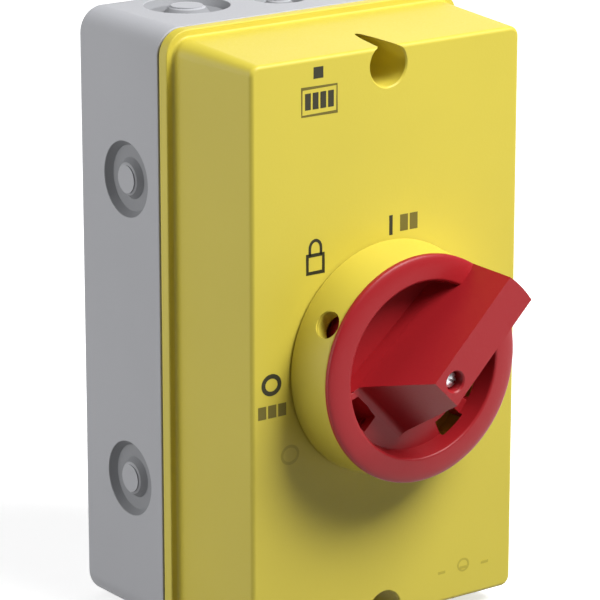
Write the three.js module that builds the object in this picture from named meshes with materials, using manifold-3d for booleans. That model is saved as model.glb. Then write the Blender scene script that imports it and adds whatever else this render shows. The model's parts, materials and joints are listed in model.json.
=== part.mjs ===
// Enclosed rotary isolator switch: a grey back box and a yellow cover, a red padlockable handle
// on the cover, and inside a three-pole switch of stacked decks turned by a square shaft.
//
// Millimetres. +X is right as seen from the front, +Y goes into the wall and +Z is up. The
// origin is the centre of the back face. Depths are given as "out", the distance from the wall.
import * as THREE from "three";
import { mergeVertices } from "three/addons/utils/BufferGeometryUtils.js";
import Module from "manifold-3d";

const wasm = await Module();
wasm.setup();

// ---- driving dimensions -----------------------------------------------------------------
const GAP = 0.3;                  // clearance between neighbouring pieces
const WIDTH = 85.5;
const HEIGHT = 148;
const CORNER = 6.2;               // corner radius of the enclosure, seen from the front
const WALL = 2.5;
const BOX_OUT = 33.5;             // where the back box ends and the cover begins
const COVER_OUT = 65.3;           // front face of the cover
const FLANGE = 3.2;               // depth of the cover's flange
const FLANGE_STEP = 2;            // the cover's walls stand in from its flange by this
const DRAFT = 1.6;                // and lean in by this much more towards the front
const EDGE = 1.7;                 // rounding of the cover's front edges

const AXIS_Z = -4.2;              // height of the handle's axis
// The two cover screws: their height, and the radius of the well that each one sits in.
const COVER_SCREWS = [
  { end: "top", z: 65.9, wellR: 5.2 },
  { end: "bottom", z: -68.2, wellR: 4.6 },
];
const WELL_FLOOR = BOX_OUT + 10;  // seat of the screws' heads
const WELL_WALL = 1.9;
const POST_R = 5;                 // the box's posts that the cover screws go into

const RING_R = 27.5;              // the handle's ring
const RING_BORE_R = 21.3;
const RING_OUT = COVER_OUT + 14.6;
const RING_SIDE = 2.2;            // depth of the ring's outer side
const RING_CHAMFER = 0.8;
const DISH_OUT = COVER_OUT + 6.4; // the floor of the handle's dish
const DISH_FLOOR = 2.4;           // thickness of that floor
const DISH_R = { back: 22.9, front: 23.9, inside: 20.1 };
const LEDGE_OUT = COVER_OUT + 9.6; // the raised floor behind the grip
const LEDGE = { from: 80, to: 213, inner: 8, outer: 20.2, wall: 3 };
const GRIP_OUT = COVER_OUT + 26;
const GRIP_ANGLE = -45;           // grip's direction from straight up, clockwise negative
const GRIP_TOP = { half: 4.6, noseHalf: 4.6, tail: 3.8 };     // the grip at its front face
const GRIP_BASE = { half: 11.4, noseHalf: 7, tail: 16.3 };    // and at the dish's back
const COLLAR_R = 28.4;
const COLLAR_FRONT_R = 27.1;
const COLLAR_WALL = 2.6;
const COLLAR_FLOOR = 2.2;
const LOCK_ANGLE = 60;            // padlock hole, counter-clockwise from straight up
const LOCK_R = 3.3;

const SHAFT = 7;                  // side of the square shaft
const SHAFT_HOLE_R = 5.4;         // round holes that the square shaft turns in
const DECKS = 3;
const DECK_OUT = 9.6;             // back of the first deck
const DECK = 10;                  // thickness of a deck
const DECK_HALF_W = 21;
const DECK_BORE_R = 14.2;
const TERMINAL_R = [32.5, 25.5, 18.5]; // terminal screws from the axis, back deck to front
const TIES = [{ x: 17.3, z: -6 }, { x: -17.3, z: 6 }]; // long screws through the whole stack
const HOUSING_OUT = DECK_OUT + DECKS * (DECK + GAP);
const HOUSING = 10;

// ---- solids -----------------------------------------------------------------------------
function solidOf(geometry) {
  const bare = geometry.clone();
  bare.deleteAttribute("normal");
  bare.deleteAttribute("uv");
  const merged = mergeVertices(bare, 1e-4);
  const corners = merged.index.array;
  const kept = [];
  for (let i = 0; i < corners.length; i += 3) {
    const [a, b, c] = corners.slice(i, i + 3);
    if (a !== b && b !== c && c !== a) kept.push(a, b, c);
  }
  return new wasm.Manifold(new wasm.Mesh({
    numProp: 3,
    vertProperties: new Float32Array(merged.attributes.position.array),
    triVerts: new Uint32Array(kept),
  }));
}

function slab([x0, x1], [out0, out1], [z0, z1]) {
  const geometry = new THREE.BoxGeometry(x1 - x0, out1 - out0, z1 - z0);
  geometry.translate((x0 + x1) / 2, -(out0 + out1) / 2, (z0 + z1) / 2);
  return solidOf(geometry);
}

function rod(radius, [out0, out1], { x = 0, z = 0, sides = 24, frontRadius = radius } = {}) {
  const geometry = new THREE.CylinderGeometry(radius, frontRadius, out1 - out0, sides);
  geometry.translate(x, -(out0 + out1) / 2, z);
  return solidOf(geometry);
}

// A ring about the Y axis. The profile is a closed loop of [radius, out] pairs, counter-
// clockwise when radius points right and out points up.
function turned(profile, sides = 48) {
  const points = [...profile, profile[0]].map(([radius, out]) => new THREE.Vector2(radius, -out));
  return solidOf(new THREE.LatheGeometry(points.reverse(), sides));
}

function plate(shape, [out0, out1], curveSegments = 12) {
  const geometry = new THREE.ExtrudeGeometry(shape, {
    depth: out1 - out0, bevelEnabled: false, curveSegments,
  });
  geometry.rotateX(Math.PI / 2);
  geometry.translate(0, -out0, 0);
  return solidOf(geometry);
}

function roundedRectangle(width, height, radius) {
  const [x, z, quarter] = [width / 2 - radius, height / 2 - radius, Math.PI / 2];
  const shape = new THREE.Shape();
  shape.absarc(x, z, radius, 0, quarter, false);
  shape.absarc(-x, z, radius, quarter, 2 * quarter, false);
  shape.absarc(-x, -z, radius, 2 * quarter, 3 * quarter, false);
  shape.absarc(x, -z, radius, 3 * quarter, 4 * quarter, false);
  return shape;
}

// A solid through a row of outlines with equally many points, from the wall outwards.
function loft(sections) {
  const position = sections.flatMap(({ out, outline }) => outline.flatMap((p) => [p.x, -out, p.y]));
  const count = sections[0].outline.length;
  const index = [];
  for (let s = 0; s < sections.length - 1; s += 1) {
    for (let i = 0; i < count; i += 1) {
      const [a, b] = [s * count + i, s * count + ((i + 1) % count)];
      index.push(a, b, b + count, a, b + count, a + count);
    }
  }
  const front = (sections.length - 1) * count;
  for (const [a, b, c] of THREE.ShapeUtils.triangulateShape(sections[0].outline, [])) {
    index.push(a, c, b, front + a, front + b, front + c);
  }
  const geometry = new THREE.BufferGeometry();
  geometry.setAttribute("position", new THREE.Float32BufferAttribute(position, 3));
  geometry.setIndex(index);
  return solidOf(geometry);
}

// The enclosure's outline, drawn in from its full size on every side.
function enclosureSection(out, inset) {
  const radius = Math.max(CORNER - inset, 1.2);
  const shape = roundedRectangle(WIDTH - 2 * inset, HEIGHT - 2 * inset, radius);
  const outline = shape.getPoints(4);
  return { out, outline: outline.filter((p, i) => i === 0 || p.distanceTo(outline[i - 1]) > 1e-6) };
}

const turnAboutAxis = (solid, degrees) => solid.rotate([0, degrees, 0]);

// ---- materials --------------------------------------------------------------------------
function plastic(color, roughness) {
  return new THREE.MeshStandardMaterial({ color, roughness, metalness: 0 });
}

function metal(color) {
  return new THREE.MeshStandardMaterial({ color, roughness: 0.35, metalness: 1 });
}

const LOOK = {
  yellow: plastic(0xe0c832, 0.45),
  grey: plastic(0xa9abad, 0.5),
  red: plastic(0xb52a33, 0.4),
  black: plastic(0x242527, 0.55),
  ivory: plastic(0xd8d4c4, 0.5),
  rubber: plastic(0x1c1c1c, 0.8),
  steel: metal(0xb9bcc0),
  brass: metal(0xc9a34e),
  copper: metal(0xb87a50),
};

function piece(group, name, solid, material, at = [0, 0, 0]) {
  const { vertProperties, triVerts } = solid.getMesh();
  const geometry = new THREE.BufferGeometry();
  geometry.setAttribute("position", new THREE.Float32BufferAttribute(vertProperties, 3));
  geometry.setIndex(Array.from(triVerts));
  geometry.computeVertexNormals();
  const mesh = new THREE.Mesh(geometry, material);
  mesh.name = name;
  mesh.position.set(...at);
  group.add(mesh);
}

// ---- back box ---------------------------------------------------------------------------
const BACK = 3;                   // thickness of the box's back
const KNOCKOUT_DEPTH = 1.2;
const SIDE_KNOCKOUTS = { radius: 9.2, out: 19.5, z: [35.8, -38.7] };
const END_KNOCKOUTS = [
  { x: -20.5, out: 13.2, radius: 10.4 },
  { x: 2, out: 19.5, radius: 6.5 },
  { x: 20.5, out: 13.2, radius: 10.4 },
];
const CENTRE_SHARE = 0.46;        // a knock-out's raised centre, as a share of its radius
const WALL_HOLES = [[-31, 65], [31, 65], [-31, -65], [31, -65]];
const WALL_HOLE_R = 2.4;
const SCREW_HOLE_R = 2.3;
const BASE_SCREW_Z = 39.5;        // the switch's fixing screws, from the handle's axis
const BASE_BOSS = { radius: 4, out: 6, holeRadius: 1.8 };
const BAR = { x: -31, halfWidth: 4.5, halfHeight: 9, z: { neutral: 50.5, earth: -50.5 } };

// Cuts the groove round a knock-out's centre, from a face at the origin that looks along +Y.
function knockoutGroove(radius) {
  const groove = rod(radius, [-1, KNOCKOUT_DEPTH], { sides: 18 });
  return groove.subtract(rod(radius * CENTRE_SHARE, [-2, KNOCKOUT_DEPTH + 1], { sides: 10 }));
}

function backBox() {
  const rim = BOX_OUT - GAP;
  let solid = loft([enclosureSection(0, 0), enclosureSection(rim, 0)]);
  solid = solid.subtract(loft([enclosureSection(BACK, WALL), enclosureSection(rim + 1, WALL)]));
  const inside = loft([enclosureSection(1, 1), enclosureSection(rim, 1)]);
  for (const { z } of COVER_SCREWS) {
    const post = rod(POST_R, [BACK - 1, rim], { z }).intersect(inside);
    solid = solid.add(post).subtract(rod(SCREW_HOLE_R, [BACK + 1, rim + 1], { z, sides: 14 }));
  }
  for (const z of [AXIS_Z + BASE_SCREW_Z, AXIS_Z - BASE_SCREW_Z]) {
    solid = solid.add(rod(BASE_BOSS.radius, [BACK - 1, BASE_BOSS.out], { z, sides: 16 }));
    solid = solid.subtract(rod(BASE_BOSS.holeRadius, [BACK / 2, BASE_BOSS.out + 1], { z, sides: 10 }));
  }
  for (const [x, z] of WALL_HOLES) {
    solid = solid.subtract(rod(WALL_HOLE_R, [-1, BACK + 1], { x, z, sides: 14 }));
  }
  for (const z of SIDE_KNOCKOUTS.z) {
    for (const side of [-1, 1]) {
      const groove = knockoutGroove(SIDE_KNOCKOUTS.radius).rotate([0, 0, -90 * side]);
      solid = solid.subtract(groove.translate([(side * WIDTH) / 2, -SIDE_KNOCKOUTS.out, z]));
    }
  }
  for (const { x, out, radius } of END_KNOCKOUTS) {
    for (const end of [-1, 1]) {
      const groove = knockoutGroove(radius).rotate([90 * end, 0, 0]);
      solid = solid.subtract(groove.translate([x, -out, (end * HEIGHT) / 2]));
    }
  }
  return solid;
}

// ---- cover ------------------------------------------------------------------------------
const STEM_R = 7;                 // the coupling's stem, through the cover
const GROOVE = { inset: 0.8, width: 1.8, depth: 1.6 };

function coverOutside() {
  const back = BOX_OUT + GAP;
  const full = FLANGE_STEP + DRAFT;
  const sections = [
    enclosureSection(back, 0),
    enclosureSection(back + FLANGE, 0),
    enclosureSection(back + FLANGE, FLANGE_STEP),
  ];
  const steps = 4;
  for (let i = 0; i <= steps; i += 1) {
    const turn = (i / steps) * (Math.PI / 2);
    const out = COVER_OUT - EDGE * (1 - Math.sin(turn));
    sections.push(enclosureSection(out, full + EDGE * (1 - Math.cos(turn))));
  }
  return loft(sections);
}

function cover() {
  const inner = COVER_OUT - WALL;
  const outside = coverOutside();
  let solid = outside.subtract(loft([
    enclosureSection(BOX_OUT - 1, FLANGE_STEP + WALL),
    enclosureSection(inner, FLANGE_STEP + DRAFT + WALL),
  ]));
  const back = BOX_OUT + GAP;
  const bossBack = back + GROOVE.depth + GAP;
  for (const { z, wellR } of COVER_SCREWS) {
    const boss = rod(wellR + WELL_WALL, [bossBack, inner + 1], { z, sides: 28 });
    const well = rod(wellR, [WELL_FLOOR, COVER_OUT + 1], { z, sides: 28 });
    const hole = rod(SCREW_HOLE_R, [BOX_OUT, WELL_FLOOR + 1], { z, sides: 14 });
    solid = solid.add(boss.intersect(outside)).subtract(well).subtract(hole);
  }
  const groove = loft([
    enclosureSection(back - 1, GROOVE.inset),
    enclosureSection(back + GROOVE.depth, GROOVE.inset),
  ]).subtract(loft([
    enclosureSection(back - 2, GROOVE.inset + GROOVE.width),
    enclosureSection(back + GROOVE.depth + 1, GROOVE.inset + GROOVE.width),
  ]));
  solid = solid.subtract(groove);
  return solid.subtract(rod(STEM_R + GAP, [inner - 1, COVER_OUT + 1], { z: AXIS_Z, sides: 32 }));
}

function coverGasket() {
  const [near, far] = [BOX_OUT, BOX_OUT + GROOVE.depth];
  const outer = loft([enclosureSection(near, GROOVE.inset + GAP), enclosureSection(far, GROOVE.inset + GAP)]);
  const inset = GROOVE.inset + GROOVE.width - GAP;
  return outer.subtract(loft([enclosureSection(near - 1, inset), enclosureSection(far + 1, inset)]));
}

// A slotted screw with the seat of its head at the origin, its head out and its shank inwards.
function screw({ head, headHeight, shank, length, slot = 0.8 }) {
  const solid = rod(head, [0, headHeight], { sides: 12 }).add(rod(shank, [-length, 0.2], { sides: 8 }));
  const half = slot / 2;
  return solid.subtract(slab([-head, head], [headHeight * 0.5, headHeight + 1], [-half, half]));
}

function washer({ inner, outer, thickness }) {
  return turned([[inner, 0], [outer, 0], [outer, thickness], [inner, thickness]], 14);
}

// ---- handle -----------------------------------------------------------------------------
// Everything from here on is built about the handle's axis, which is x = 0 and z = 0.
function collar() {
  const base = COVER_OUT + GAP;
  const front = RING_OUT - RING_SIDE - GAP;
  const bore = COLLAR_FRONT_R - COLLAR_WALL;
  const solid = turned([
    [STEM_R + GAP, base], [COLLAR_R, base], [COLLAR_FRONT_R, front],
    [bore, front], [bore, base + COLLAR_FLOOR], [STEM_R + GAP, base + COLLAR_FLOOR],
  ], 48);
  const hole = rod(LOCK_R, [0, COLLAR_R + 1], { sides: 24 }).rotate([-90, 0, 0]);
  const lock = hole.translate([0, -(front - LOCK_R - GAP), 0]);
  return solid.subtract(turnAboutAxis(lock, -LOCK_ANGLE));
}

// The grip's outline at one depth: straight sides from its tail to a nose on the ring's edge.
function gripSection(out, { half, noseHalf, tail }) {
  const nose = Math.sqrt(RING_R * RING_R - noseHalf * noseHalf);
  const outline = [[half, -tail], [noseHalf, nose], [0, RING_R], [-noseHalf, nose], [-half, -tail]];
  return { out, outline: outline.map(([x, z]) => new THREE.Vector2(x, z)) };
}

// Openings through the floor: two in the ledge, and one beside the grip. The first and the last
// also open the dish's side, below the ring. Angles are clockwise from the grip's direction.
const WINDOWS = [
  { from: 90, to: 110, inner: 17, outer: 24, front: LEDGE_OUT + 1 },
  { from: 180, to: 208, inner: 15, outer: 19.6, front: LEDGE_OUT + 1 },
  { from: 38, to: 78, inner: 14, outer: 24, front: RING_OUT - 5 },
];

function ringSector(inner, outer, from, to, [out0, out1], steps = 5) {
  const shape = new THREE.Shape();
  const along = (radius, share) => {
    const angle = THREE.MathUtils.degToRad(from + (to - from) * share);
    return [radius * Math.sin(angle), radius * Math.cos(angle)];
  };
  shape.moveTo(...along(inner, 0));
  for (let i = 0; i <= steps; i += 1) shape.lineTo(...along(outer, i / steps));
  for (let i = steps; i > 0; i -= 1) shape.lineTo(...along(inner, i / steps));
  return plate(shape, [out0, out1]);
}

const KNOB_SCREW = { head: 2, headHeight: 2, shank: 1.3, length: 21, slot: 0.6 };
const KNOB_WELL_R = 2.4;
const KNOB_SEAT = GRIP_OUT - 4.2; // the knob screw's head, down in the grip
const SCREW_WAY_R = 1.6;

const LEDGE_SEGMENTS = 12;

// The part of the floor behind the grip, raised as a hollow step.
function addLedge(solid, floorBack) {
  const { from, to, inner, outer, wall } = LEDGE;
  const step = ringSector(inner, outer, from, to, [floorBack, LEDGE_OUT], LEDGE_SEGMENTS);
  const span = [floorBack - 1, LEDGE_OUT - DISH_FLOOR];
  const hollow = ringSector(inner + wall, outer, from + wall, to - wall, span, LEDGE_SEGMENTS);
  return solid.add(step).subtract(hollow);
}

function grip(floorBack, ringBack) {
  const bar = loft([gripSection(floorBack, GRIP_BASE), gripSection(GRIP_OUT, GRIP_TOP)]);
  const envelope = rod(RING_R, [ringBack, GRIP_OUT + 1], { sides: 48 });
  const inDish = rod(DISH_R.back - GAP, [floorBack, GRIP_OUT], { sides: 36 });
  return bar.intersect(envelope.add(inDish));
}

function knob() {
  const floorBack = DISH_OUT - DISH_FLOOR;
  const side = RING_OUT - RING_SIDE;
  const wayEdge = SCREW_WAY_R + 1;
  const dish = turned([
    [wayEdge, floorBack], [DISH_R.back, floorBack], [DISH_R.front, side], [RING_R, side],
    [RING_R, RING_OUT - RING_CHAMFER], [RING_R - RING_CHAMFER, RING_OUT], [RING_BORE_R, RING_OUT],
    [DISH_R.inside, DISH_OUT], [wayEdge, DISH_OUT],
  ], 48);
  let solid = addLedge(dish, floorBack);
  for (const { from, to, inner, outer, front } of WINDOWS) {
    solid = solid.subtract(ringSector(inner, outer, from, to, [floorBack - 1, front]));
  }
  solid = solid.add(grip(floorBack, side));
  solid = solid.subtract(rod(KNOB_WELL_R, [KNOB_SEAT, GRIP_OUT + 1], { sides: 20 }));
  solid = solid.subtract(rod(SCREW_WAY_R, [floorBack - 1, KNOB_SEAT + 1], { sides: 12 }));
  return turnAboutAxis(solid, -GRIP_ANGLE);
}

// The coupling: a stem through the cover with a flange behind it, and a socket for the shaft.
const SOCKET_OUT = COVER_OUT - 14;
const SHAFT_FRONT = COVER_OUT - 2;
const COUPLING_FLANGE = { radius: 10.5, depth: 3 };
const SHAFT_SEAL = { inner: STEM_R + GAP, outer: 9.8, thickness: 1.5 };
const SEAL_BACK = COVER_OUT - WALL - GAP - SHAFT_SEAL.thickness;

function shaftCoupling() {
  const front = DISH_OUT - DISH_FLOOR - GAP;
  const flange = SEAL_BACK - GAP;
  const stem = rod(STEM_R, [SOCKET_OUT, front], { sides: 32 });
  const { radius, depth } = COUPLING_FLANGE;
  const solid = stem.add(rod(radius, [flange - depth, flange], { sides: 32 }));
  const half = SHAFT / 2 + GAP;
  const socket = slab([-half, half], [SOCKET_OUT - 1, SHAFT_FRONT + 1], [-half, half]);
  return solid.subtract(socket).subtract(rod(SCREW_WAY_R, [SHAFT_FRONT, front + 1], { sides: 12 }));
}

// ---- switch -----------------------------------------------------------------------------
const deckBack = (deck) => DECK_OUT + deck * (DECK + GAP);
const deckHalfHeight = (deck) => TERMINAL_R[deck] + 3.8;
const TIE_HOLE_R = 2;
const CLAMP_HOLE_R = 1.9;
// Layers of one deck, from its back: the rotor disc, the bridge and the blade, then air.
const ROTOR = { radius: 10, from: 0.6, to: 5.2 };
const BRIDGE = { halfWidth: 2.6, halfLength: 13.4, radius: 7.6, from: 5.5, to: 6.7 };
const BLADE = { half: 3, start: 10.8, from: 7, to: 8.4 };

function squareHole([out0, out1], side = SHAFT + 2 * GAP) {
  return slab([-side / 2, side / 2], [out0, out1], [-side / 2, side / 2]);
}

function tieHoles(solid, [back, front]) {
  const holes = TIES.map(({ x, z }) => rod(TIE_HOLE_R, [back - 1, front + 1], { x, z, sides: 12 }));
  return holes.reduce((rest, hole) => rest.subtract(hole), solid);
}

// A span along one side of the axis, as a rising pair.
const onSide = (side, near, far) => (side > 0 ? [near, far] : [-far, -near]);

function switchBase() {
  const [back, front] = [BASE_BOSS.out + GAP, DECK_OUT - GAP];
  const half = BASE_SCREW_Z + 4;
  let solid = plate(roundedRectangle(2 * DECK_HALF_W, 2 * half, 3), [back, front], 3);
  solid = solid.subtract(rod(SHAFT_HOLE_R, [back - 1, front + 1], { sides: 20 }));
  for (const z of [BASE_SCREW_Z, -BASE_SCREW_Z]) {
    solid = solid.subtract(rod(TIE_HOLE_R, [back - 1, front + 1], { z, sides: 12 }));
  }
  return tieHoles(solid, [back, front]);
}

function contactDeck(deck) {
  const back = deckBack(deck);
  const front = back + DECK;
  const half = deckHalfHeight(deck);
  let solid = plate(roundedRectangle(2 * DECK_HALF_W, 2 * half, 2.5), [back, front], 3);
  solid = solid.subtract(rod(DECK_BORE_R, [back - 1, front + 1], { sides: 28 }));
  const slotHalf = BLADE.half + GAP;
  for (const side of [1, -1]) {
    const slot = onSide(side, DECK_BORE_R - 2, half + 1);
    solid = solid.subtract(slab([-slotHalf, slotHalf], [back + BLADE.from - GAP, front + 1], slot));
    const z = side * TERMINAL_R[deck];
    solid = solid.subtract(rod(CLAMP_HOLE_R, [back + 2, back + BLADE.to], { z, sides: 12 }));
  }
  return tieHoles(solid, [back, front]);
}

function fixedContact(deck, side) {
  const out = [deckBack(deck) + BLADE.from, deckBack(deck) + BLADE.to];
  const blade = slab([-BLADE.half, BLADE.half], out, onSide(side, BLADE.start, deckHalfHeight(deck) - 0.4));
  const z = side * TERMINAL_R[deck];
  return blade.subtract(rod(CLAMP_HOLE_R, [out[0] - 1, out[1] + 1], { z, sides: 12 }));
}

function rotorDisc(deck) {
  const out = [deckBack(deck) + ROTOR.from, deckBack(deck) + ROTOR.to];
  return rod(ROTOR.radius, out, { sides: 32 }).subtract(squareHole([out[0] - 1, out[1] + 1]));
}

function contactBridge(deck) {
  const { halfWidth, halfLength, radius } = BRIDGE;
  const out = [deckBack(deck) + BRIDGE.from, deckBack(deck) + BRIDGE.to];
  const strip = slab([-halfWidth, halfWidth], out, [-halfLength, halfLength]);
  return strip.add(rod(radius, out, { sides: 28 })).subtract(squareHole([out[0] - 1, out[1] + 1]));
}

const STOP_SWEEP = 90;            // degrees the handle turns
const LUG = 28;                   // degrees that the stop cam's lug fills
const CAM = { radius: 10, lugRadius: 13.2, from: 0.8, to: 6 };
const POCKET = { radius: 10.6, sweepRadius: 13.6, roof: 2 };
const DETENT_CHANNEL = { x: [-19.4, -10], halfWidth: 2.7, depth: 6 };

function sector(radius, from, to, steps = 10) {
  const shape = new THREE.Shape();
  shape.moveTo(0, 0);
  for (let i = 0; i <= steps; i += 1) {
    const angle = THREE.MathUtils.degToRad(from + ((to - from) * i) / steps);
    shape.lineTo(radius * Math.cos(angle), radius * Math.sin(angle));
  }
  return shape;
}

function mechanismHousing() {
  const [back, front] = [HOUSING_OUT, HOUSING_OUT + HOUSING];
  const pocket = [back - 1, front - POCKET.roof];
  const sweep = plate(sector(POCKET.sweepRadius, -LUG / 2 - 2, STOP_SWEEP + LUG / 2 + 2), pocket);
  const { x, halfWidth, depth } = DETENT_CHANNEL;
  const solid = plate(roundedRectangle(2 * DECK_HALF_W, 30, 2.5), [back, front], 3)
    .subtract(rod(POCKET.radius, pocket, { sides: 36 }))
    .subtract(sweep)
    .subtract(rod(SHAFT_HOLE_R, [back, front + 1], { sides: 20 }))
    .subtract(slab(x, [back - 1, back + depth], [-halfWidth, halfWidth]));
  return tieHoles(solid, [back, front]);
}

function stopCam() {
  const out = [HOUSING_OUT + CAM.from, HOUSING_OUT + CAM.to];
  const lug = plate(sector(CAM.lugRadius, -LUG / 2, LUG / 2, 4), out);
  return rod(CAM.radius, out, { sides: 32 }).add(lug).subtract(squareHole([out[0] - 1, out[1] + 1]));
}

// The detent plunger and its spring lie in a row along X, left of the cam.
const DETENT_OUT = HOUSING_OUT + 3.2;
const PLUNGER = { tip: -10.3, radius: 2.2, body: 2.6, length: 3.4 };
const SPRING = { turns: 4, length: 4.6, radius: 1.6, wire: 0.28 };
const PLUNGER_X = PLUNGER.tip - PLUNGER.length;
const SPRING_X = PLUNGER_X - SPRING.length - SPRING.wire - 0.12;

function detentPlunger() {
  const { radius, body, length } = PLUNGER;
  const nose = rod(radius, [body - 0.1, length], { sides: 16, frontRadius: radius - 1 });
  return rod(radius, [0, body], { sides: 16 }).add(nose).rotate([0, 0, 90]);
}

function detentSpring() {
  const { turns, length, radius, wire } = SPRING;
  const steps = turns * 8;
  const points = [];
  for (let i = 0; i <= steps; i += 1) {
    const angle = (turns * i * 2 * Math.PI) / steps;
    points.push(new THREE.Vector3((length * i) / steps, radius * Math.cos(angle), radius * Math.sin(angle)));
  }
  const section = new THREE.Shape().absarc(0, 0, wire, 0, 2 * Math.PI, false);
  return solidOf(new THREE.ExtrudeGeometry(section, {
    steps, extrudePath: new THREE.CatmullRomCurve3(points), curveSegments: 3, bevelEnabled: false,
  }));
}

const BAR_FRONT = 12;
const BAR_SCREW_OFFSET = 4.2;
const WIRE_WAY = { radius: 2.1, out: 6.6 };

function terminalBar() {
  const { halfWidth, halfHeight } = BAR;
  let solid = slab([-halfWidth, halfWidth], [BACK + GAP, BAR_FRONT], [-halfHeight, halfHeight]);
  for (const z of [-BAR_SCREW_OFFSET, BAR_SCREW_OFFSET]) {
    solid = solid.subtract(rod(CLAMP_HOLE_R, [WIRE_WAY.out, BAR_FRONT + 1], { z, sides: 12 }));
    const wireWay = rod(WIRE_WAY.radius, [-halfWidth - 1, halfWidth + 1], { sides: 12 }).rotate([0, 0, 90]);
    solid = solid.subtract(wireWay.translate([0, -WIRE_WAY.out, z]));
  }
  return solid;
}

// ---- assembly ---------------------------------------------------------------------------
const isolator = new THREE.Group();
const onAxis = new THREE.Group();
onAxis.position.z = AXIS_Z;
isolator.add(onAxis);

piece(isolator, "back_box", backBox(), LOOK.grey);
piece(isolator, "cover", cover(), LOOK.yellow);
piece(isolator, "cover_gasket", coverGasket(), LOOK.rubber);

const coverScrew = { head: 3.2, headHeight: 2.4, shank: 2, length: 32, slot: 1 };
const screwSeal = { inner: 2.3, outer: 3.3, thickness: 1 };
const sealSeat = WELL_FLOOR + GAP;
const screwSeat = sealSeat + screwSeal.thickness + GAP;
for (const { end, z } of COVER_SCREWS) {
  piece(isolator, `cover_screw_${end}`, screw(coverScrew), LOOK.steel, [0, -screwSeat, z]);
  piece(isolator, `screw_seal_${end}`, washer(screwSeal), LOOK.rubber, [0, -sealSeat, z]);
}

piece(onAxis, "handle_collar", collar(), LOOK.yellow);
piece(onAxis, "knob", knob(), LOOK.red);
piece(onAxis, "shaft_coupling", shaftCoupling(), LOOK.black);
piece(onAxis, "knob_screw", screw(KNOB_SCREW), LOOK.steel, [0, -(KNOB_SEAT + GAP), 0]);
piece(onAxis, "shaft_seal", washer(SHAFT_SEAL), LOOK.rubber, [0, -SEAL_BACK, 0]);

piece(onAxis, "switch_base", switchBase(), LOOK.black);
const shaft = slab([-SHAFT / 2, SHAFT / 2], [BASE_BOSS.out + 1, SHAFT_FRONT], [-SHAFT / 2, SHAFT / 2]);
piece(onAxis, "drive_shaft", shaft, LOOK.steel);

const clampScrew = { head: 2.6, headHeight: 2, shank: 1.5, length: 5.4 };
for (let deck = 0; deck < DECKS; deck += 1) {
  const name = deck + 1;
  piece(onAxis, `contact_deck_${name}`, contactDeck(deck), LOOK.ivory);
  piece(onAxis, `rotor_disc_${name}`, rotorDisc(deck), LOOK.black);
  piece(onAxis, `contact_bridge_${name}`, contactBridge(deck), LOOK.copper);
  for (const [end, side] of [["line", 1], ["load", -1]]) {
    piece(onAxis, `${end}_contact_${name}`, fixedContact(deck, side), LOOK.brass);
    const at = [0, -(deckBack(deck) + BLADE.to + GAP), side * TERMINAL_R[deck]];
    piece(onAxis, `${end}_terminal_screw_${name}`, screw(clampScrew), LOOK.steel, at);
  }
}

piece(onAxis, "mechanism_housing", mechanismHousing(), LOOK.black);
piece(onAxis, "stop_cam", stopCam(), LOOK.ivory);
piece(onAxis, "detent_plunger", detentPlunger(), LOOK.ivory, [PLUNGER_X, -DETENT_OUT, 0]);
piece(onAxis, "detent_spring", detentSpring(), LOOK.steel, [SPRING_X, -DETENT_OUT, 0]);

const tieScrew = { head: 3, headHeight: 2.2, shank: 1.6, length: 42 };
const baseScrew = { head: 3, headHeight: 2.2, shank: 1.4, length: 7 };
const tieSeat = HOUSING_OUT + HOUSING + GAP;
TIES.forEach(({ x, z }, i) => {
  piece(onAxis, `tie_screw_${["right", "left"][i]}`, screw(tieScrew), LOOK.steel, [x, -tieSeat, z]);
});
for (const [name, z] of [["top", BASE_SCREW_Z], ["bottom", -BASE_SCREW_Z]]) {
  piece(onAxis, `base_screw_${name}`, screw(baseScrew), LOOK.steel, [0, -DECK_OUT, z]);
}

const barScrew = { head: 2.6, headHeight: 1.8, shank: 1.5, length: 5 };
for (const [name, z] of Object.entries(BAR.z)) {
  piece(isolator, `${name}_bar`, terminalBar(), LOOK.brass, [BAR.x, 0, z]);
  for (const [end, side] of [["upper", 1], ["lower", -1]]) {
    const at = [BAR.x, -(BAR_FRONT + GAP), z + side * BAR_SCREW_OFFSET];
    piece(isolator, `${name}_screw_${end}`, screw(barScrew), LOOK.steel, at);
  }
}

export default isolator;
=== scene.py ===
"""Looks of an enclosed rotary isolator switch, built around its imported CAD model.

Shapes are worked out in millimetres from the frame's own boxes, and every finished piece is
turned into metres. "Out" is the distance from the wall, which is -Y in the frame.
"""

import json
import math

import bmesh
import bpy
from mathutils import Matrix, Vector


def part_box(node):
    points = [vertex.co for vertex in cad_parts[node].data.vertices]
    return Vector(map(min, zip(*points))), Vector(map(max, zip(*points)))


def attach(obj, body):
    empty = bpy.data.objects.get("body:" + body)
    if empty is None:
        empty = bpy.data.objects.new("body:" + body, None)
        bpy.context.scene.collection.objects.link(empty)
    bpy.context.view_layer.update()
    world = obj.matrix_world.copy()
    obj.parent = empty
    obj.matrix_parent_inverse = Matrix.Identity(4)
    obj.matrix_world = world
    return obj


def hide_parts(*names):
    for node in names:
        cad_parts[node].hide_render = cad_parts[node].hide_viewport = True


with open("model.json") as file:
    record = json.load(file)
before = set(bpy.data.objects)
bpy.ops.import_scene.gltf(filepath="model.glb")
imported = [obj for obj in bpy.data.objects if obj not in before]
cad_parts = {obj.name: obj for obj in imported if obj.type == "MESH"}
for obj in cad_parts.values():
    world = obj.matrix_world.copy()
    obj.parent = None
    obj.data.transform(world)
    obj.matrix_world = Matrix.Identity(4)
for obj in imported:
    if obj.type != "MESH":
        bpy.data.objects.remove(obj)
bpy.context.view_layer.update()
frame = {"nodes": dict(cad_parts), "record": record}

MM = 0.001
GAP = 0.3                         # between pieces that don't touch


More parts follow.
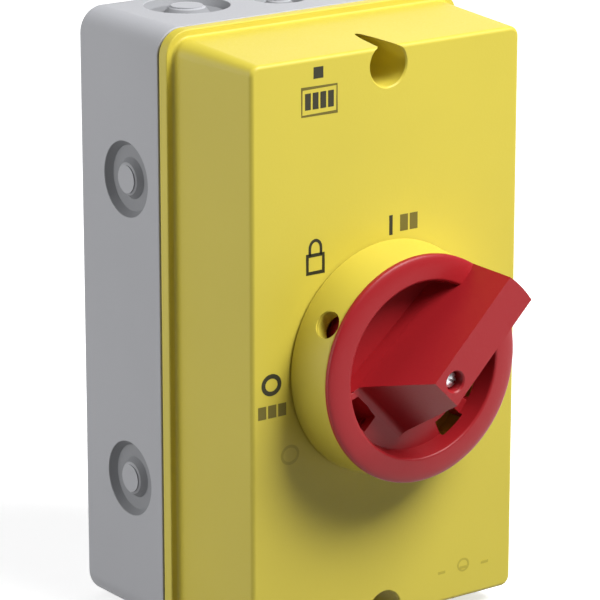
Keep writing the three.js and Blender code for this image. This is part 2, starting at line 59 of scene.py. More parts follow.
def box_mm(node):
    """A CAD node's lowest and highest corners, in millimetres."""
    low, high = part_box(node)
    return low / MM, high / MM


def middle(node):
    """The x and z of the middle of a CAD node, in millimetres."""
    low, high = box_mm(node)
    return (low.x + high.x) / 2, (low.z + high.z) / 2


# ---- sizes taken from the frame ------------------------------------------------------------
COVER_LOW, COVER_HIGH = box_mm("cover")
COLLAR_LOW, COLLAR_HIGH = box_mm("handle_collar")
KNOB_LOW, KNOB_HIGH = box_mm("knob")
WIDTH = COVER_HIGH.x - COVER_LOW.x
HEIGHT = COVER_HIGH.z - COVER_LOW.z
BOX_OUT = -box_mm("back_box")[0].y
COVER_BACK = -COVER_HIGH.y
COVER_OUT = -COVER_LOW.y
AXIS_Z = middle("shaft_coupling")[1]
WELLS_Z = {end: middle(f"cover_screw_{end}")[1] for end in ("top", "bottom")}
WELL_FLOOR = -box_mm("screw_seal_top")[1].y - GAP
RING_R = KNOB_HIGH.x
GRIP_OUT = -KNOB_LOW.y
KNOB_BACK = -KNOB_HIGH.y
COLLAR_BACK = -COLLAR_HIGH.y
COLLAR_OUT = -COLLAR_LOW.y

# ---- sizes of the detail -------------------------------------------------------------------
CORNER = 6.2                      # corner radius of the enclosure, seen from the front
WALL = 2.5
BACK = 3                          # thickness of the box's back
FLANGE = 3.2                      # depth of the cover's flange
FLANGE_STEP = 2.0                 # how far the cover's walls stand in from it
DRAFT = 1.6                       # how far they lean in towards the front
EDGE = 1.1                        # rounding of the cover's front edges
WELL_R = {"top": 5.2, "bottom": 4.6}
WELL_WALL = 1.9
SCREW_HOLE_R = 2.3
POST_R = 5
FOOT_R, FOOT_OUT, FOOT_HOLE_R = 4, 6, 1.8   # the bosses under the switch
WALL_HOLE_R = 2.4
STEM_R = 7

COLLAR_LEAN = 1.3
COLLAR_WALL = 2.6
COLLAR_FLOOR = 2.2
LOCK_TURN = math.radians(-60)     # the padlock hole, from straight up
LOCK_R = 3.3

RING_OUT = COVER_OUT + 14.6
RING_BORE_R = 21.3
RING_SIDE = 2.2                   # depth of the ring's outer side
DISH_OUT = COVER_OUT + 6.4        # the floor of the dish
DISH_FLOOR = DISH_OUT - KNOB_BACK
DISH_R = 20.1
DISH_SIDE_R = (22.9, 23.9)        # its outside, at the back and under the ring
LEDGE_OUT = COVER_OUT + 9.6       # the raised part of the dish's floor, behind the grip
LEDGE_TURNS = (80, 213)           # where it starts and ends, in degrees clockwise from the grip
LEDGE_R = 8                       # its inner radius
GRIP_TURN = math.radians(45)
GRIP_TOP = (4.6, 4.6, 3.8)        # the grip's half width at its tail and nose, and its tail
GRIP_BASE = (11.4, 7, 16.3)       # the same at the back of the dish
SCREW_WAY_R = 1.6                 # the way for the knob screw, and the well of its head
KNOB_WELL_R = 2.4
KNOB_SCREW_HEAD = 2

WORLD_LIGHT = 0.12
FLOOR_GLOW = 0.62
GRAIN_RELIEF = 0.25
GLOSS = 0.3
SMOOTH_BELOW = math.radians(32)   # edges gentler than this are shaded smooth


# ---- working meshes, in millimetres --------------------------------------------------------
def working(name, vertices, faces):
    mesh = bpy.data.meshes.new(name)
    mesh.from_pydata(vertices, [], faces)
    obj = bpy.data.objects.new(name, mesh)
    bpy.context.scene.collection.objects.link(obj)
    face_out(obj)
    return obj


def face_out(obj):
    """Turns every face of a closed mesh outwards."""
    bm = bmesh.new()
    bm.from_mesh(obj.data)
    bmesh.ops.recalc_face_normals(bm, faces=bm.faces)
    bm.to_mesh(obj.data)
    bm.free()


def loft(name, rings, looped=False):
    """A surface through rings of equally many points, closed by end faces or as a loop."""
    count = len(rings[0])
    vertices = [point for ring in rings for point in ring]
    pairs = list(zip(range(len(rings) - 1), range(1, len(rings))))
    if looped:
        pairs.append((len(rings) - 1, 0))
    faces = []
    for a, b in pairs:
        for i in range(count):
            j = (i + 1) % count
            faces.append((a * count + i, a * count + j, b * count + j, b * count + i))
    if not looped:
        last = (len(rings) - 1) * count
        faces.append(tuple(range(count)))
        faces.append(tuple(range(last, last + count)))
    return working(name, vertices, faces)


def circle(radius, out, centre=(0, 0), steps=96):
    turns = [2 * math.pi * i / steps for i in range(steps)]
    return [(centre[0] + radius * math.sin(t), -out, centre[1] + radius * math.cos(t)) for t in turns]


def turned(name, profile, centre=(0, AXIS_Z), steps=128):
    """A ring about an axis along Y, from a closed profile of (radius, out)."""
    return loft(name, [circle(r, out, centre, steps) for r, out in profile], looped=True)


def rod(name, radius, span, centre=(0, 0), steps=64, front_radius=None):
    front = radius if front_radius is None else front_radius
    return loft(name, [circle(radius, span[0], centre, steps), circle(front, span[1], centre, steps)])


def arc(centre, radius, start, end, steps):
    """Points of an arc in a (radius, out) profile, angles in degrees from outward radius."""
    angles = [math.radians(start + (end - start) * i / steps) for i in range(steps + 1)]
    return [(centre[0] + radius * math.cos(a), centre[1] + radius * math.sin(a)) for a in angles]


def enclosure_ring(out, inset, steps=12):
    """The enclosure's outline at a distance from the wall, drawn in by inset."""
    radius = max(CORNER - inset, 1.2)
    x, z = WIDTH / 2 - inset - radius, HEIGHT / 2 - inset - radius
    points = []
    for quarter, (sx, sz) in enumerate([(1, 1), (-1, 1), (-1, -1), (1, -1)]):
        for i in range(steps + 1):
            turn = (quarter + i / steps) * math.pi / 2
            points.append((sx * x + radius * math.cos(turn), -out, sz * z + radius * math.sin(turn)))
    return points


def slab(name, xs, outs, zs):
    low, high = Vector((xs[0], -outs[1], zs[0])), Vector((xs[1], -outs[0], zs[1]))
    ring = [(low.x, low.z), (high.x, low.z), (high.x, high.z), (low.x, high.z)]
    return loft(name, [[(x, y, z) for x, z in ring] for y in (high.y, low.y)])


def prism(name, outline, outs):
    return loft(name, [[(x, -out, z) for x, z in outline] for out in outs])


def bake(obj):
    """Makes a working object's modifiers real."""
    graph = bpy.context.evaluated_depsgraph_get()
    mesh = bpy.data.meshes.new_from_object(obj.evaluated_get(graph))
    obj.modifiers.clear()
    obj.data = mesh
    return obj


def combine(obj, tool, operation):
    modifier = obj.modifiers.new(operation, "BOOLEAN")
    modifier.operation = operation
    modifier.solver = "EXACT"
    modifier.object = tool
    bake(obj)
    bpy.data.objects.remove(tool)
    return obj


def cut(obj, *tools):
    for tool in tools:
        combine(obj, tool, "DIFFERENCE")
    return obj


def join(obj, *tools):
    for tool in tools:
        combine(obj, tool, "UNION")
    return obj


def soften(obj, width, segments=3, angle=35):
    """Rounds the edges that are sharper than an angle."""
    modifier = obj.modifiers.new("soften", "BEVEL")
    modifier.width = width
    modifier.segments = segments
    modifier.limit_method = "ANGLE"
    modifier.angle_limit = math.radians(angle)
    return bake(obj)


def turn_about(obj, angle, centre=(0, AXIS_Z)):
    """Turns a working mesh clockwise, as seen from the front, about an axis along Y."""
    at = Vector((centre[0], 0, centre[1]))
    turn = Matrix.Translation(at) @ Matrix.Rotation(angle, 4, "Y") @ Matrix.Translation(-at)
    obj.data.transform(turn)
    return obj


# ---- materials -----------------------------------------------------------------------------
def new_material(name):
    material = bpy.data.materials.new(name)
    material.use_nodes = True
    return material, material.node_tree.nodes, material.node_tree.links


def noise(nodes, links, scale, detail=3.0):
    place = nodes.new("ShaderNodeTexCoord")
    texture = nodes.new("ShaderNodeTexNoise")
    texture.inputs["Scale"].default_value = scale
    texture.inputs["Detail"].default_value = detail
    links.new(place.outputs["Object"], texture.inputs["Vector"])
    return texture.outputs["Fac"]


def spread(nodes, links, value, low, high):
    """Maps a noise value onto a range."""
    change = nodes.new("ShaderNodeMapRange")
    change.inputs["From Min"].default_value = 0.3
    change.inputs["From Max"].default_value = 0.7
    change.inputs["To Min"].default_value = low
    change.inputs["To Max"].default_value = high
    links.new(value, change.inputs["Value"])
    return change.outputs["Result"]


def tinted(nodes, links, color, value, low, high):
    """A colour made lighter and darker by a noise value."""
    tint = nodes.new("ShaderNodeHueSaturation")
    tint.inputs["Color"].default_value = (*color, 1)
    links.new(spread(nodes, links, value, low, high), tint.inputs["Value"])
    return tint.outputs["Color"]


def moulded(name, color, roughness, grain=1800):
    """Moulded plastic: an even colour with faint flow marks, and a fine spark-eroded grain."""
    material, nodes, links = new_material(name)
    shader = nodes["Principled BSDF"]
    flow = noise(nodes, links, 22, 2.0)
    fine = noise(nodes, links, grain, 4.0)
    links.new(tinted(nodes, links, color, flow, 0.975, 1.025), shader.inputs["Base Color"])
    rough = spread(nodes, links, fine, roughness - 0.05, roughness + 0.05)
    links.new(rough, shader.inputs["Roughness"])
    bump = nodes.new("ShaderNodeBump")
    bump.inputs["Strength"].default_value = GRAIN_RELIEF
    bump.inputs["Distance"].default_value = 0.00008
    links.new(fine, bump.inputs["Height"])
    links.new(bump.outputs["Normal"], shader.inputs["Normal"])
    shader.inputs["IOR"].default_value = 1.48
    shader.inputs["Specular IOR Level"].default_value = GLOSS
    return material


def metal(name, color, roughness, brushing):
    """Plated metal with faint scratches drawn out along one direction."""
    material, nodes, links = new_material(name)
    shader = nodes["Principled BSDF"]
    shader.inputs["Metallic"].default_value = 1.0
    place = nodes.new("ShaderNodeTexCoord")
    stretch = nodes.new("ShaderNodeMapping")
    stretch.inputs["Scale"].default_value = brushing
    links.new(place.outputs["Object"], stretch.inputs["Vector"])
    scratch = nodes.new("ShaderNodeTexNoise")
    scratch.inputs["Scale"].default_value = 900
    scratch.inputs["Detail"].default_value = 5.0
    links.new(stretch.outputs["Vector"], scratch.inputs["Vector"])
    value = scratch.outputs["Fac"]
    links.new(tinted(nodes, links, color, value, 0.9, 1.06), shader.inputs["Base Color"])
    links.new(spread(nodes, links, value, roughness - 0.08, roughness + 0.1), shader.inputs["Roughness"])
    bump = nodes.new("ShaderNodeBump")
    bump.inputs["Strength"].default_value = 0.2
    bump.inputs["Distance"].default_value = 0.00005
    links.new(value, bump.inputs["Height"])
    links.new(bump.outputs["Normal"], shader.inputs["Normal"])
    return material


LOOKS = {
    "cover_plastic": moulded("yellow_plastic", (0.66, 0.55, 0.068), 0.42),
    "box_plastic": moulded("grey_plastic", (0.445, 0.45, 0.475), 0.5),
    "handle_plastic": moulded("red_plastic", (0.36, 0.013, 0.018), 0.38),
    "black_plastic": moulded("black_plastic", (0.018, 0.018, 0.02), 0.45),
    "deck_plastic": moulded("ivory_plastic", (0.62, 0.58, 0.46), 0.45),
    "seal_rubber": moulded("black_rubber", (0.012, 0.012, 0.012), 0.75, grain=900),
    "steel": metal("zinc_plated_steel", (0.60, 0.61, 0.63), 0.3, (1, 6, 1)),
    "brass": metal("brass", (0.72, 0.52, 0.22), 0.28, (8, 1, 1)),
    "copper": metal("copper", (0.72, 0.36, 0.22), 0.3, (8, 1, 1)),
}
# A rougher grey for the knock-outs' grooves; its darker colour is painted shade for the recess.
GROOVE_PAINTED_SHADE = moulded("grey_groove_painted_shade", (0.28, 0.285, 0.30), 0.62)
INK = moulded("print_ink", (0.03, 0.028, 0.012), 0.5)
SOFT_INK = moulded("worn_ink", (0.16, 0.13, 0.02), 0.5)
FAINT_INK = moulded("moulded_mark", (0.50, 0.41, 0.045), 0.45)


# ---- finishing a piece ---------------------------------------------------------------------
def smooth(obj):
    obj.data.shade_smooth()
    obj.data.set_sharp_from_angle(angle=SMOOTH_BELOW)
    modifier = obj.modifiers.new("even_normals", "WEIGHTED_NORMAL")
    modifier.keep_sharp = True


def deliver(obj, body, slot, nodes=(), material=None):
    """Turns a working object into a finished piece that rides on a body."""
    obj.data.transform(Matrix.Scale(MM, 4))
    obj.data.materials.clear()
    obj.data.materials.append(material or LOOKS[slot])
    smooth(obj)
    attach(obj, body)
    if nodes:
        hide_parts(*nodes)
    return obj


# ---- camera and light ----------------------------------------------------------------------
def camera():
    """The photograph's long-lens view from the upper left."""
    azimuth, elevation = math.radians(-36.35), math.radians(16.03)
    back = Vector((
        math.sin(azimuth) * math.cos(elevation),
        -math.cos(azimuth) * math.cos(elevation),
        math.sin(elevation),
    ))
    right = Vector((0, 0, 1)).cross(back).normalized()
    up = back.cross(right)
    aim = Vector((0, -0.0395, 0))
    distance, aside, lift = 0.8736, 0.00517, -0.00333
    data = bpy.data.cameras.new("camera")
    data.lens = 217.2
    data.sensor_width = 36
    data.clip_start = 0.05
    data.clip_end = 20
    obj = bpy.data.objects.new("camera", data)
    bpy.context.scene.collection.objects.link(obj)
    place = aim + back * distance - right * aside - up * lift
    axes = Matrix((right, up, back)).transposed().to_4x4()
    obj.matrix_world = Matrix.Translation(place) @ axes
    bpy.context.scene.camera = obj


def softbox(name, place, aim, size, power):
    data = bpy.data.lights.new(name, "AREA")
    data.shape = "RECTANGLE"
    data.size, data.size_y = size
    data.energy = power
    obj = bpy.data.objects.new(name, data)
    bpy.context.scene.collection.objects.link(obj)
    place = Vector(place)
    obj.location = place
    obj.rotation_euler = (Vector(aim) - place).to_track_quat("-Z", "Y").to_euler()


def pale_floor():
    """A plain pale floor, just under the object."""
    reach, level = 6.0, COVER_LOW.z * MM - 0.0005
    corners = [(-reach, -reach), (reach, -reach), (reach, reach), (-reach, reach)]
    mesh = bpy.data.meshes.new("floor")
    mesh.from_pydata([(x, y, level) for x, y in corners], [], [(0, 1, 2, 3)])
    floor = bpy.data.objects.new("floor", mesh)
    floor.visible_diffuse = False
    bpy.context.scene.collection.objects.link(floor)
    material, nodes, links = new_material("pale_floor")
    shader = nodes["Principled BSDF"]
    pale = tinted(nodes, links, (0.9, 0.9, 0.9), noise(nodes, links, 3), 0.98, 1.0)
    links.new(pale, shader.inputs["Base Color"])
    shader.inputs["Roughness"].default_value = 0.9
    shader.inputs["Emission Color"].default_value = (1, 1, 1, 1)
    shader.inputs["Emission Strength"].default_value = FLOOR_GLOW
    mesh.materials.append(material)


def studio():
    """One soft key from the upper right, and a soft light behind on each side."""
    scene = bpy.context.scene
    scene.view_settings.view_transform = "Standard"
    world = bpy.data.worlds.new("studio")
    world.use_nodes = True
    background = world.node_tree.nodes["Background"]
    background.inputs["Color"].default_value = (1, 1, 1, 1)
    background.inputs["Strength"].default_value = WORLD_LIGHT
    scene.world = world
    softbox("key", (0.25, -0.52, 0.65), (0, -0.06, 0), (0.45, 0.45), 11.3)
    softbox("left_rear", (-1.1, 0.55, 0.15), (0, -0.03, 0), (1.2, 1.2), 14.6)
    softbox("right_rear", (1.1, 0.7, 0.25), (0, -0.03, 0), (1.2, 1.2), 5)
    pale_floor()


# ---- cover ---------------------------------------------------------------------------------
def rounded(out, inset, radius, start, end, steps=5):
    """Enclosure rings along an arc in the (out, inset) plane, about a centre."""
    turns = [math.radians(start + (end - start) * i / steps) for i in range(steps + 1)]
    return [enclosure_ring(out + radius * math.sin(t), inset + radius * math.cos(t)) for t in turns]


def cover_shell():
    """The cover without its wells, from inside its face round the gasket groove to the front."""
    full = FLANGE_STEP + DRAFT
    groove_outer, groove_inner, groove_depth = 0.8, 2.6, 1.6
    lip, fillet = 0.35, 0.7
    front = COVER_BACK + FLANGE
    return loft("cover_shell", [
        enclosure_ring(COVER_OUT - WALL, full + WALL),
        enclosure_ring(COVER_BACK, FLANGE_STEP + WALL),
        enclosure_ring(COVER_BACK, groove_inner),
        enclosure_ring(COVER_BACK + groove_depth, groove_inner),
        enclosure_ring(COVER_BACK + groove_depth, groove_outer),
        enclosure_ring(COVER_BACK, groove_outer),
        *rounded(COVER_BACK + lip, lip, lip, 270, 180),
        *rounded(front - lip, lip, lip, 180, 90),
        *rounded(front + fillet, FLANGE_STEP - fillet, fillet, -90, 0),
        *rounded(COVER_OUT - EDGE, full + EDGE, EDGE, 180, 90, 10),
    ])


def cover():
    """The yellow cover: a shell with a flange and gasket groove, and a well for each screw."""
    inner = COVER_OUT - WALL
    full = FLANGE_STEP + DRAFT
    obj = cover_shell()
    boss_back = BOX_OUT + 3
    for end, z in WELLS_Z.items():
        radius = WELL_R[end]
        boss = rod("boss", radius + WELL_WALL, (boss_back, inner + 0.5), (0, z), 64)
        keep = loft("keep", [
            enclosure_ring(boss_back, FLANGE_STEP + 0.6),
            enclosure_ring(inner + 0.5, full + 0.6),
        ])
        join(obj, combine(boss, keep, "INTERSECT"))
        cut(
            obj,
            rod("well", radius, (WELL_FLOOR, COVER_OUT + 1), (0, z), 96),
            rod("well_mouth", radius, (COVER_OUT - 0.35, COVER_OUT + 0.15), (0, z), 96, radius + 0.5),
            rod("hole", SCREW_HOLE_R, (BOX_OUT, WELL_FLOOR + 1), (0, z), 32),
        )
    cut(obj, rod("stem_hole", STEM_R + GAP, (inner - 1, COVER_OUT + 1), (0, AXIS_Z), 96))
    return deliver(obj, "cover", "cover_plastic", ["cover"])


# ---- prints on the cover -------------------------------------------------------------------
def stroke(path, width, closed=False):
    """A line of ink along a path of (x, z) points, just proud of the cover's front."""
    low, high = COVER_OUT - 0.02, COVER_OUT + 0.03
    points = [Vector(point) for point in path]
    last = len(points) - 1
    rings = []
    for i, point in enumerate(points):
        before = points[i - 1] if closed or i else point
        after = points[(i + 1) % len(points)] if closed or i < last else point
        along = (after - before).normalized()
        reach = along if i == last and not closed else (after - point).normalized()
        side = Vector((-along.y, along.x)) * (width / 2 / max(along.dot(reach), 0.5))
        a, b = point + side, point - side
        rings.append([(a.x, -low, a.y), (a.x, -high, a.y), (b.x, -high, b.y), (b.x, -low, b.y)])
    return loft("stroke", rings, looped=closed)


def oval(x, z, half_width, half_height, start=0, end=360, steps=40):
    turns = [math.radians(start + (end - start) * i / steps) for i in range(steps + 1)]
    points = [(x + half_width * math.cos(t), z + half_height * math.sin(t)) for t in turns]
    return points[:-1] if end - start == 360 else points


def rectangle(x0, x1, z0, z1):
    return [(x0, z0), (x1, z0), (x1, z1), (x0, z1)]


def blocks(x0, x1, z0, z1, count, gap=0.55):
    """A row of plain block marks that stands in for words."""
    width = (x1 - x0 - gap * (count - 1)) / count
    middle_z = (z0 + z1) / 2
    starts = [x0 + i * (width + gap) for i in range(count)]
    return [stroke([(start, middle_z), (start + width, middle_z)], z1 - z0) for start in starts]


def gather(name, parts):
    """Several working meshes as one object."""
    bm = bmesh.new()
    for part in parts:
        bm.from_mesh(part.data)
        bpy.data.objects.remove(part)
    mesh = bpy.data.meshes.new(name)
    bm.to_mesh(mesh)
    bm.free()
    obj = bpy.data.objects.new(name, mesh)
    bpy.context.scene.collection.objects.link(obj)
    return obj


def ink(name, parts, material):
    return deliver(gather(name, parts), "cover", "cover_plastic", material=material)


def prints():
    """Plain marks for on, off and locking, with blocks where words would be."""
    ink("padlock_mark", [
        stroke(rectangle(-23.3, -18.7, 19.6, 23.8), 0.8, closed=True),
        stroke([(-22.6, 23.8), *oval(-21, 25.4, 1.6, 1.9, 180, 0, 16), (-19.4, 23.8)], 0.75),
    ], INK)
    ink("off_mark", [stroke(oval(-33.6, -5.3, 2.3, 2.1), 1.1, closed=True)], INK)
    ink("on_mark", [stroke([(1.0, 25.1), (1.0, 29.9)], 1.0)], INK)
    ink("on_blocks", blocks(3.7, 8.9, 25.6, 29.6, 2), SOFT_INK)
    ink("off_blocks", blocks(-37.4, -29.4, -13.3, -10.2, 3), SOFT_INK)
    ink("rating_dot", blocks(-21.6, -18.8, 65.4, 68.1, 1), INK)
    ink("rating_frame", [stroke(rectangle(-24.9, -14.9, 57.0, 63.4), 0.45, closed=True)], SOFT_INK)
    ink("rating_blocks", blocks(-24.0, -15.8, 58.3, 62.2, 4), INK)
    ink("third_mark", [stroke(oval(-28.3, -23.3, 2.3, 2.1), 0.7, closed=True)], FAINT_INK)
    ink("foot_mark", [
        *blocks(16.3, 31.9, -62.9, -62.2, 3, 4.5),
        stroke(oval(24.1, -61.9, 1.6, 1.5), 0.5, closed=True),
    ], FAINT_INK)


# ---- back box ------------------------------------------------------------------------------
SIDE_KNOCKOUTS = {"radius": 9.2, "out": 19.5, "z": (35.8, -38.7)}
END_KNOCKOUTS = [(-20.5, 13.2, 10.4), (2, 19.5, 6.5), (20.5, 13.2, 10.4)]
WALL_HOLES = [(-31, 65), (31, 65), (-31, -65), (31, -65)]
CENTRE_SHARE = 0.42               # a knock-out's raised centre, as a share of its radius
GROOVE_DEPTH = 1.8
GROOVE_BAND = (0.4, 2.2)          # depths at which a face of the box belongs to a groove


def knockout_cutter(radius):
    """A dished groove round a knock-out's raised centre, cut into a face that looks along -Y."""
    centre, depth = CENTRE_SHARE * radius, GROOVE_DEPTH
    return turned("knockout", [
        (centre - 0.5, 0.5), (radius + 0.2, 0.5), (radius, -0.2), (radius - 1.2, -depth),
        (centre + 1.2, -depth), (centre + 0.1, -0.5), (centre - 0.5, -0.3),
    ], (0, 0), 72)


def place_cutter(cutter, turn_axis, turn, place):
    cutter.data.transform(Matrix.Translation(place) @ Matrix.Rotation(math.radians(turn), 4, turn_axis))
    return cutter


def cut_knockouts(obj):
    half_width, half_height = WIDTH / 2, HEIGHT / 2
    for z in SIDE_KNOCKOUTS["z"]:
        for side, turn in ((-half_width, -90), (half_width, 90)):
            cutter = knockout_cutter(SIDE_KNOCKOUTS["radius"])
            place = Vector((side, -SIDE_KNOCKOUTS["out"], z))
            cut(obj, place_cutter(cutter, "Z", turn, place))
    for x, out, radius in END_KNOCKOUTS:
        for end, turn in ((half_height, -90), (-half_height, 90)):
            cutter = knockout_cutter(radius)
            cut(obj, place_cutter(cutter, "X", turn, Vector((x, -out, end))))


def in_groove(point):
    """Whether a point on the finished box lies in the groove of a knock-out."""
    x, out, z = point.x / MM, -point.y / MM, point.z / MM
    shares = []
    if GROOVE_BAND[0] < WIDTH / 2 - abs(x) < GROOVE_BAND[1]:
        for level in SIDE_KNOCKOUTS["z"]:
            reach = math.hypot(out - SIDE_KNOCKOUTS["out"], z - level)
            shares.append(reach / SIDE_KNOCKOUTS["radius"])
    if GROOVE_BAND[0] < HEIGHT / 2 - abs(z) < GROOVE_BAND[1]:
        for place, level, radius in END_KNOCKOUTS:
            shares.append(math.hypot(x - place, out - level) / radius)
    return any(share < 1 for share in shares)


def paint_groove_shade(obj):
    """Gives the knock-outs' grooves a rougher grey whose darker colour is painted shade for the recess.
    """
    obj.data.materials.append(GROOVE_PAINTED_SHADE)
    # faces in the grooves take the painted shade
    for face in obj.data.polygons:
        if in_groove(face.center):
            face.material_index = 1
    return obj


def back_box():
    """The grey box: a shell with knock-outs, screw posts, switch bosses and wall holes, with painted
    shade in the knock-outs' grooves.
    """
    rim, soft, lip = BOX_OUT, 1.0, 0.3
    obj = loft("back_box_shell", [
        enclosure_ring(BACK, WALL),
        enclosure_ring(rim, WALL),
        *rounded(rim - lip, lip, lip, 90, 180, 3),
        *rounded(soft, soft, soft, 180, 270),
    ])
    for z in WELLS_Z.values():
        post = rod("post", POST_R, (BACK - 1, rim), (0, z), 64)
        keep = loft("keep", [enclosure_ring(1, 1), enclosure_ring(rim, 1)])
        join(obj, combine(post, keep, "INTERSECT"))
        cut(obj, rod("post_hole", SCREW_HOLE_R, (BACK + 1, rim + 1), (0, z), 32))
    for node in ("base_screw_top", "base_screw_bottom"):
        place = middle(node)
        join(obj, rod("foot", FOOT_R, (BACK - 0.5, FOOT_OUT), place, 48))
        cut(obj, rod("foot_hole", FOOT_HOLE_R, (BACK / 2, FOOT_OUT + 1), place, 24))
    for place in WALL_HOLES:
        cut(obj, rod("wall_hole", WALL_HOLE_R, (-1, BACK + 1), place, 32))
    cut_knockouts(obj)
    return paint_groove_shade(deliver(obj, "enclosure", "box_plastic", ["back_box"]))


# ---- handle --------------------------------------------------------------------------------
def collar():
    """The yellow collar under the knob, with its padlock hole."""
    base, front = COLLAR_BACK, COLLAR_OUT
    foot_r, top_r = COLLAR_HIGH.x, COLLAR_HIGH.x - COLLAR_LEAN
    bore_r, inside_out = top_r - COLLAR_WALL, base + COLLAR_FLOOR
    obj = turned("handle_collar_ring", [
        (STEM_R + GAP, base), (foot_r - 0.2, base), (foot_r, base + 0.3),
        *arc((top_r - 0.6, front - 0.6), 0.6, 8, 90, 5),
        (bore_r, front), (bore_r, inside_out), (STEM_R + GAP, inside_out),
    ])
    for radius, reach in ((LOCK_R, (0, 40)), (LOCK_R + 0.2, (top_r + 0.3, 40))):
        hole = rod("lock_hole", radius, reach, (0, 0), 64)
        hole.data.transform(Matrix.Rotation(math.radians(-90), 4, "X"))
        hole.data.transform(Matrix.Translation((0, -(front - LOCK_R - GAP), AXIS_Z)))
        cut(obj, turn_about(hole, LOCK_TURN))
    return deliver(obj, "cover", "cover_plastic", ["handle_collar"])


def grip_outline(out, half, nose_half, tail):
    """The grip at one depth: straight sides from its tail to a nose on the ring's edge."""
    start = math.asin(nose_half / RING_R)
    steps = 12
    points = [(half, -tail)]
    for i in range(steps + 1):
        turn = start * (1 - 2 * i / steps)
        points.append((RING_R * math.sin(turn), RING_R * math.cos(turn)))
    points.append((-half, -tail))
    return [(x, -out, AXIS_Z + z) for x, z in points]


def grip():
    """The grip bar, which spreads into the dish's floor, cut to the ring's outside."""
    fillet = 1.4
    above_ledge = [LEDGE_OUT + fillet * share for share in (0, 0.08, 0.2, 0.36, 0.6, 1)]
    outlines = []
    for out in (KNOB_BACK, *above_ledge, GRIP_OUT):
        share = (out - KNOB_BACK) / (GRIP_OUT - KNOB_BACK)
        half, nose_half, tail = [a + (b - a) * share for a, b in zip(GRIP_BASE, GRIP_TOP)]
        below = 1 - max(min((out - LEDGE_OUT) / fillet, 1), 0)
        foot = fillet * (1 - math.sqrt(1 - below ** 2))
        outlines.append(grip_outline(out, half, nose_half, tail + foot))
    obj = loft("grip", outlines)
    envelope = rod("envelope", RING_R, (RING_OUT - RING_SIDE, GRIP_OUT + 1), (0, AXIS_Z), 192)
    join(envelope, rod("in_dish", DISH_R + 2, (KNOB_BACK, GRIP_OUT), (0, AXIS_Z), 192))
    combine(obj, envelope, "INTERSECT")
    return soften(obj, 0.8, 4, 20)


def ring_sector(name, turns, radii, outs, steps=24):
    """A block between two angles, clockwise from the grip, and two radii."""
    start, end = [math.radians(turn) for turn in turns]
    sweep = [start + (end - start) * i / steps for i in range(steps + 1)]
    inner, outer = radii
    outline = [(outer * math.sin(t), AXIS_Z + outer * math.cos(t)) for t in sweep]
    outline += [(inner * math.sin(t), AXIS_Z + inner * math.cos(t)) for t in reversed(sweep)]
    return prism(name, outline, outs)


def ledge():
    """The raised part of the dish's floor, hollow underneath."""
    start, end = LEDGE_TURNS
    wall_turn, wall = 3, 1
    step = ring_sector("ledge", LEDGE_TURNS, (LEDGE_R, DISH_R + 0.6), (KNOB_BACK, LEDGE_OUT))
    soften(step, 0.3, 3, 60)
    turns, radii = (start + wall_turn, end - wall_turn), (LEDGE_R + wall, DISH_R + 0.1)
    return cut(step, ring_sector("hollow", turns, radii, (KNOB_BACK - 1, LEDGE_OUT - DISH_FLOOR)))


# Openings through the floor: the angles clockwise from the grip, the radii, and the front. The
# first and the last also open the dish's side, below the ring.
WINDOWS = [
    ((90, 110), (17, 24), LEDGE_OUT + 1),
    ((180, 208), (15, 19.6), LEDGE_OUT + 1),
    ((38, 78), (14, 24), RING_OUT - 5),
]


def window(turns, radii, front):
    return soften(ring_sector("window", turns, radii, (KNOB_BACK - 1, front)), 0.8, 3, 40)


def crown(inner, outer, low, high, steps=14):
    """The ring's face: a quarter of an ellipse, from the side to the inner edge."""
    turns = [math.radians(90 * i / steps) for i in range(steps)]
    return [(inner + (outer - inner) * math.cos(t), low + (high - low) * math.sin(t)) for t in turns]


def knob():
    """The red knob: a ring and dish turned as one, with the grip bar across it."""
    side, way_edge = RING_OUT - RING_SIDE, SCREW_WAY_R + 1
    edge, brim, dip = 0.3, 0.7, 1.5     # roundings of the side, the inner edge and the dish
    seat = -box_mm("knob_screw")[0].y - KNOB_SCREW_HEAD - GAP
    obj = turned("knob_moulding", [
        (way_edge, KNOB_BACK), (DISH_SIDE_R[0], KNOB_BACK), (DISH_SIDE_R[1], side),
        *arc((RING_R - edge, side + edge), edge, -90, 0, 3),
        *crown(RING_BORE_R + brim, RING_R, RING_OUT - 1.2, RING_OUT),
        *arc((RING_BORE_R + brim, RING_OUT - brim), brim, 90, 176, 6),
        *arc((DISH_R - dip, DISH_OUT + dip), dip, 0, -90, 6),
        (way_edge, DISH_OUT),
    ], steps=192)
    join(obj, ledge())
    cut(obj, *[window(*sizes) for sizes in WINDOWS])
    join(obj, grip())
    mouth, mouth_r = (GRIP_OUT - 0.35, GRIP_OUT + 0.1), KNOB_WELL_R + 0.45
    cut(
        obj,
        rod("screw_well", KNOB_WELL_R, (seat, GRIP_OUT + 1), (0, AXIS_Z), 64),
        rod("well_mouth", KNOB_WELL_R, mouth, (0, AXIS_Z), 64, mouth_r),
        rod("screw_way", SCREW_WAY_R, (KNOB_BACK - 1, seat + 1), (0, AXIS_Z), 32),
    )
    turn_about(obj, GRIP_TURN)
    return deliver(obj, "handle", "handle_plastic", ["knob"])


# ---- screws and the pieces inside ----------------------------------------------------------
SLOT_OF = {row["node"]: row["material_slot"] for row in frame["record"]["subparts"]}
BODY_OF = {
    node: body for body, nodes in frame["record"]["behaviour"]["bodies"].items() for node in nodes
}
# Each kind of screw: the height of its head, the radius of its shank and the width of its slot.
KNOB_SCREW = (KNOB_SCREW_HEAD, 1.3, 0.6)
COVER_SCREW = (2.4, 2, 1.0)
FIXING_SCREW = (2.2, 1.5, 0.8)
TERMINAL_SCREW = (2, 1.5, 0.8)
BAR_SCREW = (1.8, 1.5, 0.8)
REFINED_ABOVE = 48                # degrees at an edge, above which it is rounded


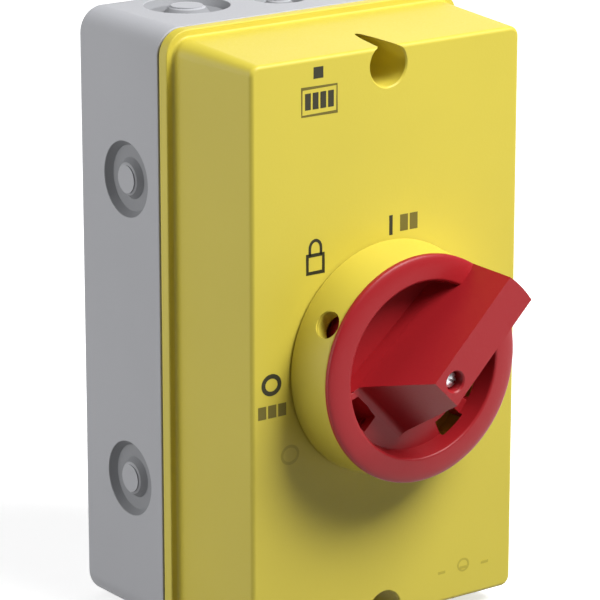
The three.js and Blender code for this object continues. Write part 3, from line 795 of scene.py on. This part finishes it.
def screw(node, kind, turn):
    """A slotted screw with a crowned head, as long and as wide as its CAD node."""
    head_height, shank_r, slot_width = kind
    low, high = box_mm(node)
    tip, top = -high.y, -low.y
    seat, head_r = top - head_height, (high.x - low.x) / 2
    centre = middle(node)
    obj = turned(f"{node}_turned", [
        (0.01, tip), (shank_r - 0.3, tip), (shank_r, tip + 0.5), (shank_r, seat),
        (head_r - 0.15, seat), *arc((head_r - 0.45, top - 0.6), 0.45, 0, 65, 4), (0.01, top),
    ], centre, 48)
    half, reach = slot_width / 2, head_r + 1
    across, along = (centre[0] - reach, centre[0] + reach), (centre[1] - half, centre[1] + half)
    slot = slab("slot", across, (top - 0.45 * head_height, top + 1), along)
    cut(obj, turn_about(slot, math.radians(turn), centre))
    return deliver(obj, BODY_OF[node], "steel", [node])


def refined(node, width):
    """A copy of a CAD node with its flat faces made whole and its sharp edges rounded."""
    obj = bpy.data.objects.new(f"{node}_fine", frame["nodes"][node].data.copy())
    bpy.context.scene.collection.objects.link(obj)
    bm = bmesh.new()
    bm.from_mesh(obj.data)
    bmesh.ops.remove_doubles(bm, verts=bm.verts, dist=1e-6)
    bmesh.ops.dissolve_limit(bm, angle_limit=math.radians(0.5), verts=bm.verts, edges=bm.edges)
    bm.to_mesh(obj.data)
    bm.free()
    obj.data.transform(Matrix.Scale(1 / MM, 4))
    soften(obj, width, 2, REFINED_ABOVE)
    return deliver(obj, BODY_OF[node], SLOT_OF[node], [node])


def inside():
    """Every screw, and the pieces of the switch with their moulded and pressed edges."""
    screw("knob_screw", KNOB_SCREW, 30)
    screw("cover_screw_top", COVER_SCREW, 20)
    screw("cover_screw_bottom", COVER_SCREW, -50)
    fixings = ("tie_screw_right", "tie_screw_left", "base_screw_top", "base_screw_bottom")
    for i, node in enumerate(fixings):
        screw(node, FIXING_SCREW, 15 + 40 * i)
    for deck in (1, 2, 3):
        for i, end in enumerate(("line", "load")):
            screw(f"{end}_terminal_screw_{deck}", TERMINAL_SCREW, 25 * deck + 60 * i)
            refined(f"{end}_contact_{deck}", 0.15)
        refined(f"contact_bridge_{deck}", 0.12)
        refined(f"contact_deck_{deck}", 0.35)
        refined(f"rotor_disc_{deck}", 0.25)
    for i, bar in enumerate(("earth", "neutral")):
        refined(f"{bar}_bar", 0.25)
        for j, end in enumerate(("upper", "lower")):
            screw(f"{bar}_screw_{end}", BAR_SCREW, 70 * i + 35 * j)
    for node in ("switch_base", "mechanism_housing", "stop_cam", "shaft_coupling", "drive_shaft"):
        refined(node, 0.3)


def paint_frame():
    """Gives every CAD node the material of its slot."""
    for name, obj in frame["nodes"].items():
        obj.data.materials.clear()
        obj.data.materials.append(LOOKS[SLOT_OF[name]])


# ---- making it -----------------------------------------------------------------------------
camera()
studio()
paint_frame()
cover()
prints()
back_box()
collar()
knob()
inside()
